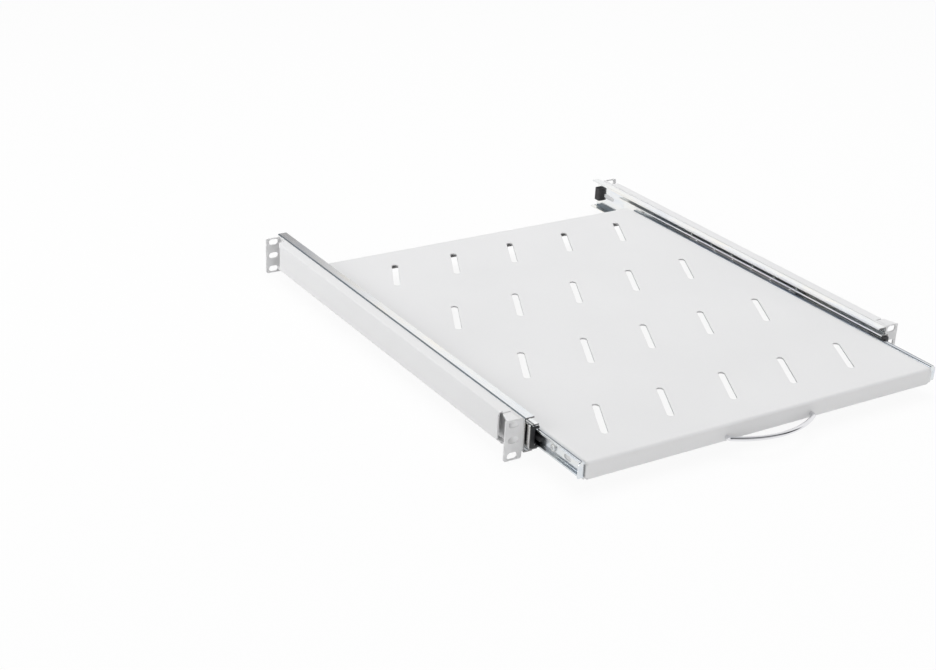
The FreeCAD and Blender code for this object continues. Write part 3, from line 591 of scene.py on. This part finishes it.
# Screws, nuts and rivets of the slides
for side in SIDES:
    node = side + "_tray_screws"
    outside, length = row_reach(side, node)
    head_radius = half_height(node)
    form = pan_screw(
        outside, outside + SCREW_HEAD_HEIGHT, outside + length, head_radius, SCREW_RADIUS, SCREW_PITCH,
    )
    places = on_side(side, row_places(node, TRAY_SCREW_COUNT, head_radius))
    add_piece(side + "_tray_screw_set", copies(form, places), node, "shelf", "fastener_zinc")

    node = side + "_tray_nuts"
    outside, length = row_reach(side, node)
    form = hexagon_nut(outside, outside + length, NUT_FLATS, NUT_BORE_RADIUS)
    places = on_side(side, row_places(node, TRAY_SCREW_COUNT, NUT_FLATS / 2))
    add_piece(side + "_tray_nut_set", copies(form, places), node, "shelf", "fastener_zinc")

    node = side + "_rail_rivets"
    outside, length = row_reach(side, node)
    head_radius = half_height(node)
    form = dome_rivet(outside, outside + RIVET_HEAD_HEIGHT, outside + length, head_radius, RIVET_RADIUS)
    places = on_side(side, row_places(node, RIVET_COUNT, head_radius))
    add_piece(side + "_rail_rivet_set", copies(form, places), node, "rails", "fastener_zinc")

# Screws of the handle, which point to the front
low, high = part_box("handle_screws")
head_radius = half_height("handle_screws")
form = pan_screw(
    0.0, HANDLE_HEAD_HEIGHT, high.y - low.y, head_radius, HANDLE_SCREW_RADIUS, HANDLE_SCREW_PITCH,
)
towards_front = Matrix.Rotation(-math.pi / 2, 4, "Z")
places = []
for across in (low.x + head_radius, high.x - head_radius):
    places.append(Matrix.Translation((across, high.y, (low.z + high.z) / 2)) @ towards_front)
add_piece("handle_screw_set", copies(form, places), "handle_screws", "shelf", "fastener_zinc")

# Pressed corners of the tray
low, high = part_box("tray")
tray_corners = (
    (high.x, high.y, 0.0), (low.x, high.y, 90.0), (low.x, low.y, 180.0), (high.x, low.y, 270.0),
)
places = []
for across, along, turn in tray_corners:
    spin = Matrix.Rotation(math.radians(turn), 4, "Z")
    inwards = spin @ Vector((-TRAY_FOLD, -TRAY_FOLD, 0.0))
    centre = Vector((across, along, high.z - TRAY_FOLD)) + inwards
    places.append(Matrix.Translation(centre) @ spin)
corner_set = mesh_object("tray_corner_set", copies(pressed_corner(TRAY_FOLD), places), looks["tray_paint"])
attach(corner_set, "shelf")

# A pale floor, which glows white to the camera and in reflections, but keeps some of its shading
FLOOR_HEIGHT = cad_box[0].z - 0.2 * MM
FLOOR_HALF = 6.0
FLOOR_GREY = (0.86, 0.86, 0.86)
FLOOR_GLOW = 0.93

bm = bmesh.new()
corners = []
for x, y in ((-1, -1), (1, -1), (1, 1), (-1, 1)):
    corners.append(bm.verts.new((x * FLOOR_HALF, y * FLOOR_HALF, FLOOR_HEIGHT)))
bm.faces.new(corners)
floor_look = bpy.data.materials.new("pale_floor")
floor_look.use_nodes = True
floor_look.node_tree.nodes.clear()
diffuse = node_of(floor_look, "ShaderNodeBsdfDiffuse")
diffuse.inputs["Color"].default_value = (*FLOOR_GREY, 1.0)
glow = node_of(floor_look, "ShaderNodeEmission")
glow.inputs["Color"].default_value = (*WHITE, 1.0)
glow.inputs["Strength"].default_value = 1.0
rays = node_of(floor_look, "ShaderNodeLightPath")
seen = larger(floor_look, rays.outputs["Is Camera Ray"], rays.outputs["Is Glossy Ray"])
seen = larger(floor_look, seen, rays.outputs["Is Transmission Ray"])
share = node_of(floor_look, "ShaderNodeMath", operation="MULTIPLY")
join(floor_look, seen, share.inputs[0])
share.inputs[1].default_value = FLOOR_GLOW
surface = mixed(floor_look, share.outputs["Value"], diffuse.outputs["BSDF"], glow.outputs["Emission"])
output = node_of(floor_look, "ShaderNodeOutputMaterial")
join(floor_look, surface, output.inputs["Surface"])
floor = mesh_object("floor", bm, floor_look)

# Soft light from all round. The camera sees a white backdrop. Metal sees it with a grey wall behind on the
# left, the unlit room in front, lighter in its middle, and a grey ceiling. The number beside a shade is the
# cosine of its angle from the middle of the wall, room or ceiling.
GREY_WALL = Vector((-0.458, 0.865, 0.204))
WALL_SHADES = [(0.565, WHITE), (0.605, (0.35, 0.35, 0.37)), (0.86, (0.16, 0.19, 0.22))]
DARK_ROOM = Vector((0.10, -0.97, 0.22))
ROOM_SHADES = [
    (0.46, WHITE), (0.62, (0.05, 0.05, 0.055)), (0.80, (0.06, 0.06, 0.065)), (0.90, (0.50, 0.50, 0.51)),
]
CEILING = Vector((0.0, 0.0, 1.0))
CEILING_SHADES = [(0.64, WHITE), (0.84, (0.66, 0.67, 0.68)), (1.0, (0.54, 0.55, 0.56))]
SOFT_LIGHT = 0.35
BACKDROP_LIGHT = 1.0


def background(owner, strength):
    light = node_of(owner, "ShaderNodeBackground")
    light.inputs["Color"].default_value = (*WHITE, 1.0)
    light.inputs["Strength"].default_value = strength
    return light


world = bpy.data.worlds.new("studio")
scene.world = world
world.use_nodes = True
world.node_tree.nodes.clear()
direction = node_of(world, "ShaderNodeTexCoord")
shades = []
for middle, stops in ((GREY_WALL, WALL_SHADES), (DARK_ROOM, ROOM_SHADES), (CEILING, CEILING_SHADES)):
    facing = node_of(world, "ShaderNodeVectorMath", operation="DOT_PRODUCT")
    facing.inputs[1].default_value = middle.normalized()
    join(world, direction.outputs["Generated"], facing.inputs[0])
    shades.append(ramp(world, facing.outputs["Value"], stops))
wall_shade, room_shade, ceiling_shade = shades
surroundings = multiplied(world, multiplied(world, wall_shade, room_shade), ceiling_shade)
soft = background(world, SOFT_LIGHT)
backdrop = background(world, BACKDROP_LIGHT)
mirrored = background(world, BACKDROP_LIGHT)
join(world, surroundings, mirrored.inputs["Color"])
rays = node_of(world, "ShaderNodeLightPath")
lit = mixed(
    world, rays.outputs["Is Glossy Ray"], soft.outputs["Background"], mirrored.outputs["Background"],
)
seen = larger(world, rays.outputs["Is Camera Ray"], rays.outputs["Is Transmission Ray"])
output = node_of(world, "ShaderNodeOutputWorld")
join(world, mixed(world, seen, lit, backdrop.outputs["Background"]), output.inputs["Surface"])

# Square lamps, all turned to the middle of the shelf. Only the one at the side shows in reflections.
LAMP_TARGET = Vector((0.0, 0.2, 0.0))


def area_lamp(name, spot, size, power, in_reflections):
    lamp = bpy.data.lights.new(name, "AREA")
    lamp.shape = "SQUARE"
    lamp.size = size
    lamp.energy = power
    holder = bpy.data.objects.new(name, lamp)
    scene.collection.objects.link(holder)
    holder.location = spot
    holder.rotation_mode = "QUATERNION"
    holder.rotation_quaternion = (LAMP_TARGET - Vector(spot)).to_track_quat("-Z", "Y")
    holder.visible_glossy = in_reflections


area_lamp("top_lamp", spot=(0.3, 0.6, 2.2), size=1.8, power=34.6, in_reflections=False)
area_lamp("side_lamp", spot=(-1.9, 0.9, 0.5), size=1.2, power=14.7, in_reflections=True)
area_lamp("front_lamp", spot=(-0.3, -1.9, 0.45), size=1.2, power=10.3, in_reflections=False)

# Camera: above the front left corner, looking down over the tray. Sensor and lens are in millimetres.
CAMERA_PLACE = Vector((-0.98980, -1.08298, 0.70620))
CAMERA_RIGHT = Vector((0.84857, -0.52721, 0.04446))
CAMERA_FORWARD = Vector((0.49544, 0.76231, -0.41644))
SENSOR_WIDTH = 36.0
LENS = 64.248
NEAREST = 0.01
FARTHEST = 50.0

camera_data = bpy.data.cameras.new("photo_camera")
camera_data.sensor_fit = "HORIZONTAL"
camera_data.sensor_width = SENSOR_WIDTH
camera_data.lens = LENS
camera_data.clip_start = NEAREST
camera_data.clip_end = FARTHEST
camera = bpy.data.objects.new("photo_camera", camera_data)
scene.collection.objects.link(camera)
forward = CAMERA_FORWARD.normalized()
up = CAMERA_RIGHT.normalized().cross(forward)
right = forward.cross(up)
camera.matrix_world = Matrix((
    (right.x, up.x, -forward.x, CAMERA_PLACE.x),
    (right.y, up.y, -forward.y, CAMERA_PLACE.y),
    (right.z, up.z, -forward.z, CAMERA_PLACE.z),
    (0.0, 0.0, 0.0, 1.0),
))
scene.camera = camera
